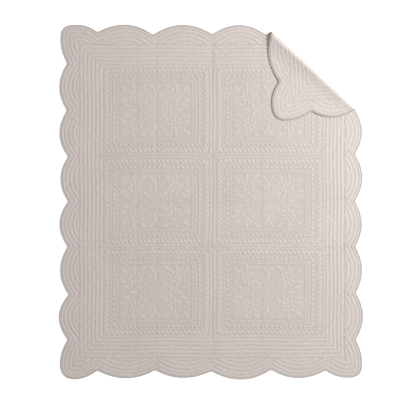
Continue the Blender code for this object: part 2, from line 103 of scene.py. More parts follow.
# %% [markdown]
# ## The scalloped edge
#
# On the real throw each scallop is a shallow bow between two notches, and the quilter repeats the
# bows inward, a channel apart, so the lines keep their notches sharp. A bow is a parabola here. Its
# repeat is the parabola moved along its own normals, carried on past its ends, and where two
# neighbours cross, the outer one wins. That gives the sharp notch without any trimming.

# %% Bows, corner petals and their repeats
EDGE_ROWS = np.concatenate([[0.0020, FOOT, (FOOT + PITCH) / 2.0 - 0.0036, (FOOT + PITCH) / 2.0,
                             (FOOT + PITCH) / 2.0 + 0.0036],
                            np.arange(4, 4 * CHANNELS) * PITCH / 4.0])
FAR = 1.0
SQUEEZE, DEEPEST = 0.0040, 0.1100
SPIKE = 1.6
RUN_ON = 0.6
CROSSED = 0.0005


def moved_inward(points, distance):
    """Each point of a clockwise line moved by the distance along the normal to the line's own run."""
    run = np.gradient(points, axis=0)
    run /= np.linalg.norm(run, axis=1)[:, None]
    return points + distance * np.column_stack([run[:, 1], -run[:, 0]])


def bow(start, end):
    """A parabola over the span between two notches: depth grows with the square of the distance
    from the crown, and runs on past both notches."""
    half = (end.along - start.along) / 2.0
    share = np.linspace(-1.0 - RUN_ON, 1.0 + RUN_ON, 161)
    notch = np.where(share < 0.0, start.valley, end.valley) + VALLEY_SHARPEN
    depth = start.crown + (notch - start.crown) * share ** 2
    return np.column_stack([(start.along + end.along) / 2.0 + half * share, -depth])


def resampled(points, step):
    """Points the same distance apart along a line, by measuring its length as it goes."""
    length = np.concatenate([[0.0], np.cumsum(np.linalg.norm(np.diff(points, axis=0), axis=1))])
    places = np.linspace(0.0, length[-1], int(length[-1] / step))
    return np.column_stack([np.interp(places, length, points[:, 0]),
                            np.interp(places, length, points[:, 1])])


def petal_line(petal, level, upright, past):
    """A corner petal in its own quadrant: half a parabola, a quarter of a superellipse, half a
    parabola. past is how far the parabolas run on beyond their notches."""
    level_notch = np.array([abs(level.along), LENGTH / 2.0 - level.valley - VALLEY_SHARPEN])
    level_crown = np.array([petal.level_along, LENGTH / 2.0 - petal.level_inset])
    upright_notch = np.array([WIDTH / 2.0 - upright.valley - VALLEY_SHARPEN, abs(upright.along)])
    upright_crown = np.array([WIDTH / 2.0 - petal.upright_inset, petal.upright_along])
    share = np.linspace(1.0 + past, 0.0, 60)
    first = np.column_stack([level_crown[0] - (level_crown - level_notch)[0] * share,
                             level_crown[1] - (level_crown - level_notch)[1] * share ** 2])
    turn = np.linspace(0.0, math.pi / 2.0, 90)[1:-1]
    power = 2.0 / petal.squareness
    middle = np.column_stack([
        level_crown[0] + (upright_crown - level_crown)[0] * np.sin(turn) ** power,
        upright_crown[1] + (level_crown - upright_crown)[1] * np.cos(turn) ** power])
    share = share[::-1]
    last = np.column_stack([upright_crown[0] - (upright_crown - upright_notch)[0] * share ** 2,
                            upright_crown[1] - (upright_crown - upright_notch)[1] * share])
    return resampled(np.vstack([first, middle, last]), 0.002)


def side_reach(side, distance):
    """How far the repeat at a distance stands beyond the base line, all along one side.

    A deep repeat of a corner petal crosses itself. Only its points that are no nearer to the petal's
    edge than the distance count, and of those only the ones that run along this side."""
    rows, ends = SIDES[side]
    half, own_axis = HALVES[side[0]], 1 - side[0]
    along = np.linspace(-BASE[own_axis, -1], BASE[own_axis, 1], 2001)
    depth = np.full(along.shape, FAR)
    for start, end in zip(rows, rows[1:]):
        line = moved_inward(bow(start, end), distance)
        depth = np.minimum(depth, np.interp(along, line[:, 0], -line[:, 1], FAR, FAR))
    for sign, (petal, level, upright) in zip((-1.0, 1.0), ends):
        rim = petal_line(petal, level, upright, RUN_ON)
        line = moved_inward(rim, distance)
        if own_axis == 1:
            rim, line = rim[::-1, ::-1], line[::-1, ::-1]
        run = np.abs(np.gradient(rim, axis=0))
        away = np.linalg.norm(line[:, None] - rim[None], axis=-1).min(axis=1)
        line = line[(run[:, 0] > run[:, 1]) & (away > distance - CROSSED)]
        near = line[line[:, 0] < BASE[own_axis, int(sign)] + 0.012]
        near = near[near[:, 1] > half - 0.12]
        near = near[np.argsort(near[:, 0])]
        depth = np.minimum(depth, np.interp(sign * along, near[:, 0], half - near[:, 1], FAR, FAR))
    return along, np.maximum(half - BASE[side] - depth, SQUEEZE * (1.0 - distance / DEEPEST))


def petal_field(corner):
    """Distance from a corner petal's edge, for rays from the base line's corner at all angles.

    Returns the angles, the radii from the edge inward, and the greatest distance met so far."""
    line = petal_line(*CORNERS[corner], 0.3)
    middle = np.array([BASE[0, corner[0]], BASE[1, corner[1]]])
    angle = np.linspace(0.0, math.pi / 2.0, 61)
    radius = np.linspace(0.17, 0.0, 171)
    places = middle + radius[None, :, None] * np.stack([np.cos(angle), np.sin(angle)], -1)[:, None]
    away = np.linalg.norm(places[:, :, None] - line[None, None], axis=-1).min(axis=2)
    bearing = np.arctan2(*(line - middle).T[::-1])
    order = np.argsort(bearing)
    rim = np.interp(angle, bearing[order], np.linalg.norm(line - middle, axis=1)[order])
    signed = np.where(radius[None] > rim[:, None], -away, away)
    return angle, radius, np.maximum.accumulate(signed, axis=1)


def petal_reach(field, distance):
    """The radius on each ray where the distance from the edge is first met, kept from running out
    into a spike where the rays next to the sides are short."""
    angle, radius, away = field
    out = np.array([np.interp(distance, row, radius) for row in away])
    out = np.maximum(out, SQUEEZE * (1.0 - distance / DEEPEST))
    return angle, np.minimum(out, SPIKE * max(out[0], out[-1]))


SIDES = {
    (0, -1): (LEFT, (CORNERS[-1, -1], CORNERS[-1, 1])),
    (0, 1): (RIGHT, (CORNERS[1, -1], CORNERS[1, 1])),
    (1, -1): (BOTTOM, (CORNERS[-1, -1], CORNERS[1, -1])),
    (1, 1): (TOP, (CORNERS[-1, 1], CORNERS[1, 1])),
}
FIELDS = {corner: petal_field(corner) for corner in CORNERS}


def lay_out(lines_x, lines_y, rows):
    """Flat cloth points for a grid of lines that includes the edge rows at its four ends.

    Inside the base line a point is where its two lines cross. Beyond it, a row is a repeat of the
    scallops: straight out from the base line along a side, and along an angle round a corner.
    Returns the points, the distance of each row from the edge and its reach beyond the base line."""
    count = len(rows)
    across, up = np.meshgrid(lines_x, lines_y, indexing="ij")
    plan = np.stack([across, up], axis=-1)
    inset = np.full(across.shape, DEEPEST)
    reach = np.zeros(across.shape)
    own = (lines_x[count:-count], lines_y[count:-count])
    for axis, sign in SIDES:
        for index, row in enumerate(rows):
            place = index if sign < 0 else -1 - index
            out = np.interp(own[1 - axis], *side_reach((axis, sign), row))
            key = (place, slice(count, -count)) if axis == 0 else (slice(count, -count), place)
            plan[key][:, axis] = sign * (BASE[axis, sign] + out)
            inset[key] = row
            reach[key] = out
    for corner in CORNERS:
        for index, row in enumerate(rows):
            angle, radius = petal_reach(FIELDS[corner], row)
            others = np.arange(index, count)
            share = (DEEPEST - rows[others]) / (DEEPEST - row)
            for upright in (False, True):
                turn = share * math.pi / 4.0
                turn = math.pi / 2.0 - turn if upright else turn
                out = np.interp(turn, angle, radius)
                cells = [np.full(others.shape, index), others]
                first, second = cells[::-1] if upright else cells
                first = first if corner[0] < 0 else len(lines_x) - 1 - first
                second = second if corner[1] < 0 else len(lines_y) - 1 - second
                plan[first, second, 0] = corner[0] * (BASE[0, corner[0]] + out * np.cos(turn))
                plan[first, second, 1] = corner[1] * (BASE[1, corner[1]] + out * np.sin(turn))
                inset[first, second] = row
                reach[first, second] = out
    return plan, inset, reach


print("edge rows", len(EDGE_ROWS))

# %% [markdown]
# ## The stitched blocks
#
# Inside the border lie six blocks, two by three. Each is a set of nested rectangles: a wide band that
# carries a rope of slanting strokes, a narrower band with small ovals, and a panel. The bands are not
# the same width on all four sides, so a table holds each rectangle's inset from each side, and a
# point's ring is the smallest of its four readings.

# %% Blocks, rings and how far they puff
Span = namedtuple("Span", "low high")
COLUMNS = (Span(-0.5619, 0.0043), Span(0.0043, 0.5704))
ROWS = (Span(-0.6811, -0.2252), Span(-0.2252, 0.2307), Span(0.2307, 0.6866))
RING_LEFT = np.array([0.000, 0.020, 0.050, 0.065, 0.080, 0.0875, 0.095])
RING_RIGHT = np.array([0.000, 0.015, 0.045, 0.055, 0.075, 0.090, 0.105])
RING_LEVEL = np.array([0.000, 0.015, 0.040, 0.050, 0.065, 0.075, 0.090])
RING_HEIGHT = np.array([0.90, 0.40, 0.65, 0.25, 0.65, 0.65])
PANEL_PUFF = 0.38
WANDER, WANDER_LENGTH, WANDER_TURN = 0.0016, 0.43, 1.3


def ridge(channel):
    """A rounded ridge in each whole step: the sine's size, raised to a power below one."""
    return np.abs(np.sin(math.pi * channel)) ** 0.75


def block_puff(across, up):
    """Puff of the blocks, as a share of a full channel: a ridge in each ring, then a flat panel."""
    puff = np.zeros(np.shape(across))
    steps = np.arange(7.0)
    for column in COLUMNS:
        for row in ROWS:
            ring = np.minimum(
                np.minimum(np.interp(across - column.low, RING_LEFT, steps, -1.0),
                           np.interp(column.high - across, RING_RIGHT, steps, -1.0)),
                np.minimum(np.interp(up - row.low, RING_LEVEL, steps, -1.0),
                           np.interp(row.high - up, RING_LEVEL, steps, -1.0)))
            tall = RING_HEIGHT[np.clip(ring, 0.0, 5.0).astype(int)] * ridge(ring)
            inside = np.minimum(np.minimum(across - column.low - RING_LEFT[6],
                                           column.high - RING_RIGHT[6] - across),
                                np.minimum(up - row.low, row.high - up) - RING_LEVEL[6])
            tall = np.where(ring < 6.0, tall, PANEL_PUFF * np.clip(inside / 0.012, 0.0, 1.0) ** 0.5)
            puff = np.where(ring >= 0.0, tall, puff)
    return puff


def straight_channel(across, up):
    """How many channels in from the base line a point is, by the nearest side."""
    counts = []
    for (axis, sign), base in BASE.items():
        place = sign * (across if axis == 0 else up)
        counts.append((base - place) / (base - INNER[axis, sign]) * CHANNELS)
    return np.minimum.reduce(counts)


def cloth_puff(plan, inset, reach):
    """Puff anywhere on the cloth: scallop channels, straight channels, then blocks."""
    lines = np.concatenate([[0.0, FOOT], PITCH * np.arange(1, CHANNELS + 1), [FAR]])
    channel = np.interp(inset, lines, np.concatenate([[0.0, 0.0], np.arange(1.0, CHANNELS + 1),
                                                      [CHANNELS]]))
    scallops = ridge(channel) * np.clip(reach / 0.006, 0.0, 1.0)
    across, up = plan[..., 0], plan[..., 1]
    straight = straight_channel(across, up)
    inner = np.where(straight < CHANNELS, ridge(straight), block_puff(across, up))
    return np.where(reach > 0.0, scallops, inner)


def wandered(plan, reach):
    """Stitching is never quite straight: a slow sideways wave, gone at the scalloped edge."""
    share = np.clip(1.0 - reach / 0.06, 0.0, 1.0)
    shift = np.stack([np.sin(2.0 * math.pi * plan[..., 1] / WANDER_LENGTH + WANDER_TURN),
                      np.sin(2.0 * math.pi * plan[..., 0] / WANDER_LENGTH - WANDER_TURN)], axis=-1)
    return plan + WANDER * share[..., None] * shift


# %% [markdown]
# ## Creases from storage
#
# The throw was folded in four each way on a shelf, so soft lines cross it. Each is a shallow trough,
# listed one by one: which way it runs, where, how deep and how wide, and how much it sways. A trough
# is a bell curve across its line, and its depth comes and goes along it.

# %% Creases and soft waves
Crease = namedtuple("Crease", "axis place depth width sway turn")
CREASES = (
    Crease(0, 0.009, 0.0012, 0.011, 0.0030, 0.4),
    Crease(0, -0.371, 0.0006, 0.009, 0.0040, 1.1),
    Crease(0, -0.271, 0.0009, 0.010, 0.0040, 1.9),
    Crease(0, 0.250, 0.0007, 0.011, 0.0035, 3.1),
    Crease(1, 0.229, 0.0009, 0.012, 0.0030, 2.2),
    Crease(1, -0.232, 0.0009, 0.012, 0.0035, 0.9),
    Crease(1, 0.000, 0.0006, 0.012, 0.0040, 4.0),
)


def crease_depth(plan):
    """Depth of all troughs at a point: bells across each line, uneven along it."""
    depth = np.zeros(plan.shape[:-1])
    for crease in CREASES:
        along = plan[..., 1 - crease.axis]
        middle = crease.place + crease.sway * np.sin(5.1 * along + crease.turn)
        off = (plan[..., crease.axis] - middle) / crease.width
        uneven = 0.7 + 0.3 * np.sin(9.7 * along + 2.3 * crease.turn)
        depth += crease.depth * uneven * np.exp(-off ** 2)
    return depth


def soft_wave(plan):
    """How far the cloth as a whole lifts off the floor: slow waves, never below zero, gone at the
    outer edge."""
    across, up = plan[..., 0], plan[..., 1]
    wave = 2.0 + (np.sin(8.3 * across + 2.1 * up + 0.6) * np.cos(6.4 * up - 3.0 * across)
                  + np.sin(13.0 * up + 4.0 * across + 2.0) * np.cos(11.0 * across + 1.1))
    inside = np.minimum(HALVES[0] - np.abs(across), HALVES[1] - np.abs(up))
    return 0.0010 * wave * np.clip(inside / 0.12, 0.0, 1.0)


dice = np.random.default_rng(7)
PUCKER_TURN = dice.uniform(0.0, math.pi, 14)
PUCKER_STEP = 2.0 * math.pi / dice.uniform(0.016, 0.045, 14)
PUCKER_PHASE = dice.uniform(0.0, 2.0 * math.pi, 14)


def pucker(plan):
    """Unevenness of the padding: fourteen short waves in all directions, added and evened out."""
    along = (plan[..., 0, None] * np.cos(PUCKER_TURN) + plan[..., 1, None] * np.sin(PUCKER_TURN))
    return np.sin(along * PUCKER_STEP + PUCKER_PHASE).sum(axis=-1) / math.sqrt(14.0)


# %% [markdown]
# ## Turning the corner over
#
# Cloth that is turned over bends round a roll, not along a sharp line, and then sinks onto what it
# lies on. In section that is an arc a little longer than half a circle, then a long shallow arc the
# other way, then flat. The roll is fuller at the upper end. A flat point is carried along this path
# by its distance past the start of the bend, and its height turns with the path's normal.

# %% The fold
FOLD_ANGLE = math.radians(-42.94)
FOLD_ALONG = np.array([math.cos(FOLD_ANGLE), math.sin(FOLD_ANGLE)])
FOLD_OUT = np.array([-FOLD_ALONG[1], FOLD_ALONG[0]])
FOLD_REACH, FOLD_START, FOLD_END = 0.8333, -0.350, 0.217
FOLD_RADII = (0.0118, 0.0062)
TIGHT, FULL = 0.60, 1.40
SINK_RADIUS = 0.240
FLAP_GAP = 0.0007


def fold_shape(plan):
    """The roll beside each point: its lower and upper radius, the sink angle, and how far past the
    start of the bend the point lies."""
    along = plan @ FOLD_ALONG
    radius = np.interp(along, (FOLD_START, FOLD_END), FOLD_RADII)
    low, high = TIGHT * radius, FULL * radius
    rise = STITCHED + 2.0 * FACE_PUFF + FLAP_GAP
    sink = np.arccos((rise + SINK_RADIUS - low) / (high + SINK_RADIUS))
    start = FOLD_REACH - low - STITCHED / 2.0 - BACK_PUFF
    return along, low, high, sink, start, plan @ FOLD_OUT - start


def turned_over(flat):
    """Flat cloth points (across, up, height) carried round the fold, then lifted by the soft wave."""
    along, low, high, sink, start, past = fold_shape(flat[:, :2])
    quarter = low * math.pi / 2.0
    bend_end = quarter + high * (math.pi / 2.0 + sink)
    sink_end = bend_end + SINK_RADIUS * sink
    angle = np.where(past < quarter, past / low, math.pi / 2.0 + (past - quarter) / high)
    left = np.clip((sink_end - past) / SINK_RADIUS, 0.0, None)
    angle = np.clip(np.where(past < bend_end, angle, math.pi + left), 0.0, None)
    radius = np.where(angle < math.pi / 2.0, low, high)
    reach = low - radius + radius * np.sin(angle)
    lift = low - radius * np.cos(angle)
    sunk_reach = low - high - high * np.sin(sink) - SINK_RADIUS * (np.sin(sink) - np.sin(left))
    sunk_lift = low + high * np.cos(sink) - SINK_RADIUS * (np.cos(left) - np.cos(sink))
    reach = np.where(past < bend_end, reach, sunk_reach - np.clip(past - sink_end, 0.0, None))
    reach = np.where(past > 0.0, reach, past)
    lift = np.where(past < bend_end, lift, sunk_lift)
    lift = np.where(past > 0.0, lift, 0.0)
    height = flat[:, 2] - STITCHED / 2.0
    across = start + reach - height * np.sin(angle)
    plan = along[:, None] * FOLD_ALONG + across[:, None] * FOLD_OUT
    up = STITCHED / 2.0 + lift + height * np.cos(angle)
    return np.column_stack([plan, up + soft_wave(plan)])


def back_share(plan):
    """0 where the reverse rests on the floor, 1 where the bend has turned it up."""
    along, low, high, sink, start, past = fold_shape(plan)
    share = np.clip(past / ((low + high) * math.pi / 2.0), 0.0, 1.0)
    return share ** 2 * (3.0 - 2.0 * share)


# %% [markdown]
# ## Making a cloth mesh
#
# A grid of faces is put into a mesh while it is still flat. Cuts parallel to the fold give the bend
# its round section. Only then are the points carried round the fold. The flat place of every corner
# of every face is kept as the piece's own UV map, in metres, so the weave follows the cloth round the
# fold, and the puff is kept as an attribute for the material.

# %% Mesh helpers
LOW_CUTS, HIGH_CUTS, SINK_CUTS = 5, 8, 4


def cut_for_bend(mesh):
    """Cuts the faces near the fold along lines beside it."""
    ends = np.array([FOLD_ALONG * FOLD_START, FOLD_ALONG * FOLD_END])
    along, low, high, sink, start, past = fold_shape(ends)
    quarter = low * math.pi / 2.0
    turn = high * (math.pi / 2.0 + sink)
    steps = [start + quarter * step / LOW_CUTS for step in range(LOW_CUTS)]
    steps += [start + quarter + turn * step / HIGH_CUTS for step in range(HIGH_CUTS)]
    steps += [start + quarter + turn + SINK_RADIUS * sink * step / SINK_CUTS
              for step in range(SINK_CUTS + 1)]
    for reach in steps:
        near, far = ends + reach[:, None] * FOLD_OUT
        normal = Vector((near[1] - far[1], far[0] - near[0], 0.0)).normalized()
        faces = [face for face in mesh.faces
                 if abs((face.verts[0].co.xy - Vector(near)).dot(normal.xy)) < 0.05]
        around = list({edge for face in faces for edge in face.edges})
        corners = list({corner for face in faces for corner in face.verts})
        bmesh.ops.bisect_plane(mesh, geom=corners + around + faces, dist=5e-5,
                               plane_co=Vector((near[0], near[1], 0.0)), plane_no=normal)


def grid_faces(rows, columns, closed=False, upward=True):
    """The four corners of each cell of a grid of points, as one array."""
    numbers = np.arange(rows * columns).reshape(rows, columns)
    if closed:
        numbers = np.hstack([numbers, numbers[:, :1]])
    faces = np.stack([numbers[:-1, :-1], numbers[1:, :-1], numbers[1:, 1:], numbers[:-1, 1:]],
                     axis=-1).reshape(-1, 4)
    return faces if upward else faces[:, ::-1]


def cloth_piece(name, flat, faces, cut):
    """A piece of cloth: its flat points and faces, cut and turned over, with its cloth map."""
    data = bpy.data.meshes.new(name)
    data.from_pydata(flat.tolist(), [], faces.tolist())
    if cut:
        mesh = bmesh.new()
        mesh.from_mesh(data)
        cut_for_bend(mesh)
        mesh.to_mesh(data)
        mesh.free()
    places = np.empty(3 * len(data.vertices))
    data.vertices.foreach_get("co", places)
    places = places.reshape(-1, 3)
    corners = np.empty(len(data.loops), dtype=np.int32)
    data.loops.foreach_get("vertex_index", corners)
    data.uv_layers.new(name="cloth").data.foreach_set("uv", places[corners, :2].ravel())
    puff = np.where(places[:, 2] > STITCHED / 2.0, (places[:, 2] - STITCHED) / FACE_PUFF,
                    -places[:, 2] / BACK_PUFF)
    data.attributes.new("puff", "FLOAT", "POINT").data.foreach_set("value", np.clip(puff, 0, 1))
    data.vertices.foreach_set("co", turned_over(places).ravel())
    data.shade_smooth()
    data.update()
    piece = bpy.data.objects.new(name, data)
    bpy.context.scene.collection.objects.link(piece)
    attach(piece, "root")
    print(name, len(data.polygons), "faces")
    return piece


# %% [markdown]
# ## The face
#
# The lines of the grid are not evenly spread. They follow the stitching, with one on every stitched
# line and a few between, so each channel gets a round back and a crisp groove from few faces.

# %% Grid lines that follow the stitching
PANEL_CELL, BAND_CELL = 0.0064, 0.0048


def steps_between(stops, counts):
    """Lines from stop to stop, each stretch cut into its own number of equal steps."""
    parts = [np.linspace(low, high, count, endpoint=False)
             for low, high, count in zip(stops, stops[1:], counts)]
    return np.concatenate(parts + [stops[-1:]])


def stitching_lines(axis, spans, low_rings, high_rings):
    """All lines of one direction: edge rows, straight channels, and each block's rings."""
    stops = [np.concatenate([span.low + low_rings, (span.high - high_rings)[::-1][:-1]])
             for span in spans]
    stops = np.concatenate(stops + [[spans[-1].high]])
    counts = np.round(np.diff(stops) / np.where(np.diff(stops) > 0.2, PANEL_CELL, BAND_CELL))
    blocks = steps_between(stops, np.maximum(counts, 2).astype(int))
    steps = np.arange(4 * CHANNELS) / (4.0 * CHANNELS)
    low = -(BASE[axis, -1] + (INNER[axis, -1] - BASE[axis, -1]) * steps)
    high = (BASE[axis, 1] + (INNER[axis, 1] - BASE[axis, 1]) * steps)[::-1]
    return np.concatenate([EDGE_ROWS - HALVES[axis], low, blocks, high,
                           HALVES[axis] - EDGE_ROWS[::-1]])


lines_x = stitching_lines(0, COLUMNS, RING_LEFT, RING_RIGHT)
lines_y = stitching_lines(1, ROWS, RING_LEVEL, RING_LEVEL)
print("lines", len(lines_x), "by", len(lines_y), "cells", (len(lines_x) - 1) * (len(lines_y) - 1))

# %% The face cloth
plan, inset, reach = lay_out(lines_x, lines_y, EDGE_ROWS)
puff = cloth_puff(plan, inset, reach)
height = STITCHED + FACE_PUFF * puff * (1.0 + UNEVEN * pucker(plan)) - crease_depth(plan)
height = np.where(inset < FOOT + 1e-6, PRESSED, height)
plan = wandered(plan, reach)
flat = np.concatenate([plan, height[..., None]], axis=-1).reshape(-1, 3)
face_cloth = cloth_piece("face_cloth", flat, grid_faces(len(lines_x), len(lines_y)), True)
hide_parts("quilt")

# %% [markdown]
# ## The reverse
#
# The reverse is hidden where it rests on the floor, so it is plain there, with wide cells. On the
# turned corner it is what one sees: the same stitched lines, puffed a little less than the face. The
# same grid does both, with wide cells up to the corner and fine ones on it.

# %% The reverse cloth
FLAP_LEFT, FLAP_BOTTOM, HIDDEN_CELL = 0.16, 0.32, 0.012


def thinned(lines, keep_from, step):
    """The lines above a place, and below it only one for each step."""
    coarse = [0]
    for index in range(1, len(lines)):
        if lines[index] > keep_from or lines[index] - lines[coarse[-1]] > step:
            coarse.append(index)
    return np.array(coarse)


plan, inset, reach = lay_out(lines_x, lines_y, EDGE_ROWS)
puff = cloth_puff(plan, inset, reach)
height = -BACK_PUFF * puff * (1.0 + UNEVEN * pucker(plan))
height *= back_share(plan.reshape(-1, 2)).reshape(puff.shape)
height = np.where(inset < FOOT + 1e-6, BINDING_CLOTH + CLEARANCE, height)
plan = wandered(plan, reach)
keep_x = np.union1d([0, 1], thinned(lines_x, FLAP_LEFT, HIDDEN_CELL))
keep_y = np.union1d([0, 1], thinned(lines_y, FLAP_BOTTOM, HIDDEN_CELL))
flat = np.concatenate([plan, height[..., None]], axis=-1)[np.ix_(keep_x, keep_y)].reshape(-1, 3)
reverse_cloth = cloth_piece("reverse_cloth", flat,
                            grid_faces(len(keep_x), len(keep_y), upward=False), True)
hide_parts("quilt")

# %% [markdown]
# ## The binding
#
# A bias strip is folded round the edge and stitched down, so in section it is a flat U with rounded
# corners. The section is carried along the scalloped edge. The edge line is the outermost repeat,
# smoothed a little, because a strip can't turn a sharp notch.

# %% The edge line
def edge_line():
    """The scalloped edge once round, clockwise: each side, then the petal that follows it."""
    parts = []
    turns = {(1, 1): (1, 1), (0, 1): (1, -1), (1, -1): (-1, -1), (0, -1): (-1, 1)}
    for (axis, sign), corner in turns.items():
        along, out = side_reach((axis, sign), 0.0)
        line = np.column_stack([along, sign * (BASE[axis, sign] + out)])
        line = line if axis == 1 else line[:, ::-1]
        parts.append(line if (axis, sign) in ((1, 1), (0, -1)) else line[::-1])
        angle, radius = petal_reach(FIELDS[corner], 0.0)
        line = np.column_stack([corner[0] * (BASE[0, corner[0]] + radius * np.cos(angle)),
                                corner[1] * (BASE[1, corner[1]] + radius * np.sin(angle))])[1:-1]
        parts.append(line[::-1] if corner in ((1, 1), (-1, -1)) else line)
    line = np.vstack(parts)
    return resampled(np.vstack([line, line[:1]]), EDGE_STEP)[:-1]


def smoothed(line, width):
    """A closed line with its sharp turns rounded: each point the weighted middle of its
    neighbours, with a bell curve for weights."""
    steps = np.fft.fftfreq(len(line)) * len(line)
    bell = np.exp(-0.5 * (steps / width) ** 2)
    bell /= bell.sum()
    return np.real(np.fft.ifft(np.fft.fft(line, axis=0) * np.fft.fft(bell)[:, None], axis=0))


EDGE_STEP = 0.0030
edge = smoothed(edge_line(), 0.0060 / EDGE_STEP)
print("edge", len(edge), "points,", round(len(edge) * EDGE_STEP, 2), "m round")

# %% The binding strip
SECTION = np.array([
    (0.0070, 0.0002), (0.0048, 0.0000), (0.0022, 0.0001), (0.0008, 0.0007), (0.0001, 0.0016),
    (0.0000, 0.0024), (0.0002, 0.0033), (0.0010, 0.0041), (0.0024, 0.0046), (0.0048, 0.0047),
    (0.0066, 0.0044), (0.0073, 0.0034), (0.0060, 0.0030), (0.0030, 0.0030), (0.0016, 0.0022),
    (0.0030, 0.0014), (0.0066, 0.0013),
])


def edge_ring(edge, inset):
    """The closed edge moved inward along its own normals."""
    run = np.roll(edge, -1, axis=0) - np.roll(edge, 1, axis=0)
    run /= np.linalg.norm(run, axis=1)[:, None]
    return edge + inset * np.column_stack([run[:, 1], -run[:, 0]])


rings = [np.column_stack([edge_ring(edge, inset), np.full(len(edge), height)])
         for inset, height in SECTION]
faces = grid_faces(len(SECTION), len(edge), closed=True)
last = np.arange(len(edge)) + (len(SECTION) - 1) * len(edge)
wrap = np.column_stack([last, np.arange(len(edge)), np.roll(np.arange(len(edge)), -1),
                        np.roll(last, -1)])
flat = np.vstack(rings)
binding = cloth_piece("bias_binding", flat, np.vstack([faces, wrap]), True)
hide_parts("binding")

# %% [markdown]
# ## Raised strokes, ovals, petals and leaves
#
# Matelasse motifs are small padded islands. One function makes them all: an outline that narrows to
# its two ends, curved if wanted, with a rounded top. They come as whole arrays, hundreds in one mesh,
# each with two dozen faces, and stand on the same puffed surface as everything else.

# %% One function for padded islands
ISLAND_ALONG = 7
ISLAND_ACROSS = 5
Islands = namedtuple("Islands", "centre angle length width height bend")


def islands(centre, angle, length, width, height, bend=0.0):
    """A set of islands with the same or their own sizes, as arrays of one length."""
    centre = np.atleast_2d(centre).astype(float)
    spread = [np.broadcast_to(np.asarray(value, dtype=float), len(centre))
              for value in (angle, length, width, height, bend)]
    return Islands(centre, *spread)


def joined(groups):
    """Several sets of islands as one."""
    return Islands(*[np.concatenate(values) for values in zip(*groups)])


def island_piece(name, sets):
    """Island surface: along runs from end to end, across from side to side. The half width is the
    full one times the root of one minus along to the fourth. The height is a bow across times a
    flatter bow along. A bend lifts the middle line off the straight by a parabola."""
    along = np.linspace(-1.0, 1.0, ISLAND_ALONG)[None, :, None]
    across = np.linspace(-1.0, 1.0, ISLAND_ACROSS)[None, None, :]
    half = np.sqrt(np.clip(1.0 - along ** 4, 0.02, None))
    run = sets.length[:, None, None] / 2.0 * along + 0.0 * across
    side = sets.width[:, None, None] / 2.0 * half * across
    side = side + sets.bend[:, None, None] * (1.0 - along ** 2)
    turn = sets.angle[:, None, None]
    plan = np.stack([
        sets.centre[:, 0, None, None] + run * np.cos(turn) - side * np.sin(turn),
        sets.centre[:, 1, None, None] + run * np.sin(turn) + side * np.cos(turn)], axis=-1)
    bow_up = (1.0 - across ** 2) * (1.0 - along ** 6)
    rise = sets.height[:, None, None] * bow_up
    outside = fold_shape(plan.reshape(-1, 2))[-1].reshape(rise.shape).max(axis=(1, 2)) < 0.0
    plan, rise = plan[outside], rise[outside]
    ground = block_puff(plan[..., 0], plan[..., 1])
    height = STITCHED + FACE_PUFF * (ground + (1.0 - ground) * rise) - crease_depth(plan) - 0.0001
    plan = wandered(plan, np.zeros(rise.shape))
    flat = np.concatenate([plan, height[..., None]], axis=-1).reshape(-1, 3)
    one = grid_faces(ISLAND_ALONG, ISLAND_ACROSS)
    shift = np.arange(len(rise)) * ISLAND_ALONG * ISLAND_ACROSS
    faces = (one[None] + shift[:, None, None]).reshape(-1, 4)
    return cloth_piece(name, flat, faces, False)


# %% [markdown]
# ## The rope and the ovals
#
# The rope band of the real throw has slanting strokes that lean one way on the level bands and the
# other way on the upright ones. The ovals sit in a row in the inner band. Both repeat at about 23 mm.

# %% Rope strokes and ovals
def band_places(low, high, pitch):
    """Evenly spread places between two ends, as near to the pitch as they fit."""
    count = max(int(round((high - low) / pitch)), 1)
    return low + (np.arange(count) + 0.5) * (high - low) / count


def band_frame(column, row, ring):
    """Middle lines of the band between a ring and the next, on the four sides of a block."""
    left, right, level = [(rings[ring] + rings[ring + 1]) / 2.0
                          for rings in (RING_LEFT, RING_RIGHT, RING_LEVEL)]
    return column.low + left, column.high - right, row.low + level, row.high - level


def band_islands(column, row, ring, pitch, upright, level):
    """Islands in a row on all four sides of a band. upright and level hold an island's angle,
    length and width on the sides that run up and on those that run across."""
    left, right, bottom, top = band_frame(column, row, ring)
    ups = band_places(bottom, top, pitch)
    acrosses = band_places(left, right, pitch)
    made = [islands(np.column_stack([np.full(len(ups), place), ups]), *upright, 1.0)
            for place in (left, right)]
    return made + [islands(np.column_stack([acrosses, np.full(len(acrosses), place)]), *level, 1.0)
                   for place in (bottom, top)]


strokes = []
ovals = []
for column in COLUMNS:
    for row in ROWS:
        strokes += band_islands(column, row, 1, 0.023, (math.radians(38.0), 0.036, 0.0150),
                                (math.radians(-48.0), 0.032, 0.0150))
        ovals += band_islands(column, row, 3, 0.024, (math.radians(90.0), 0.019, 0.0180),
                              (0.0, 0.018, 0.0150))
rope_strokes = island_piece("rope_strokes", joined(strokes))
band_ovals = island_piece("band_ovals", joined(ovals))
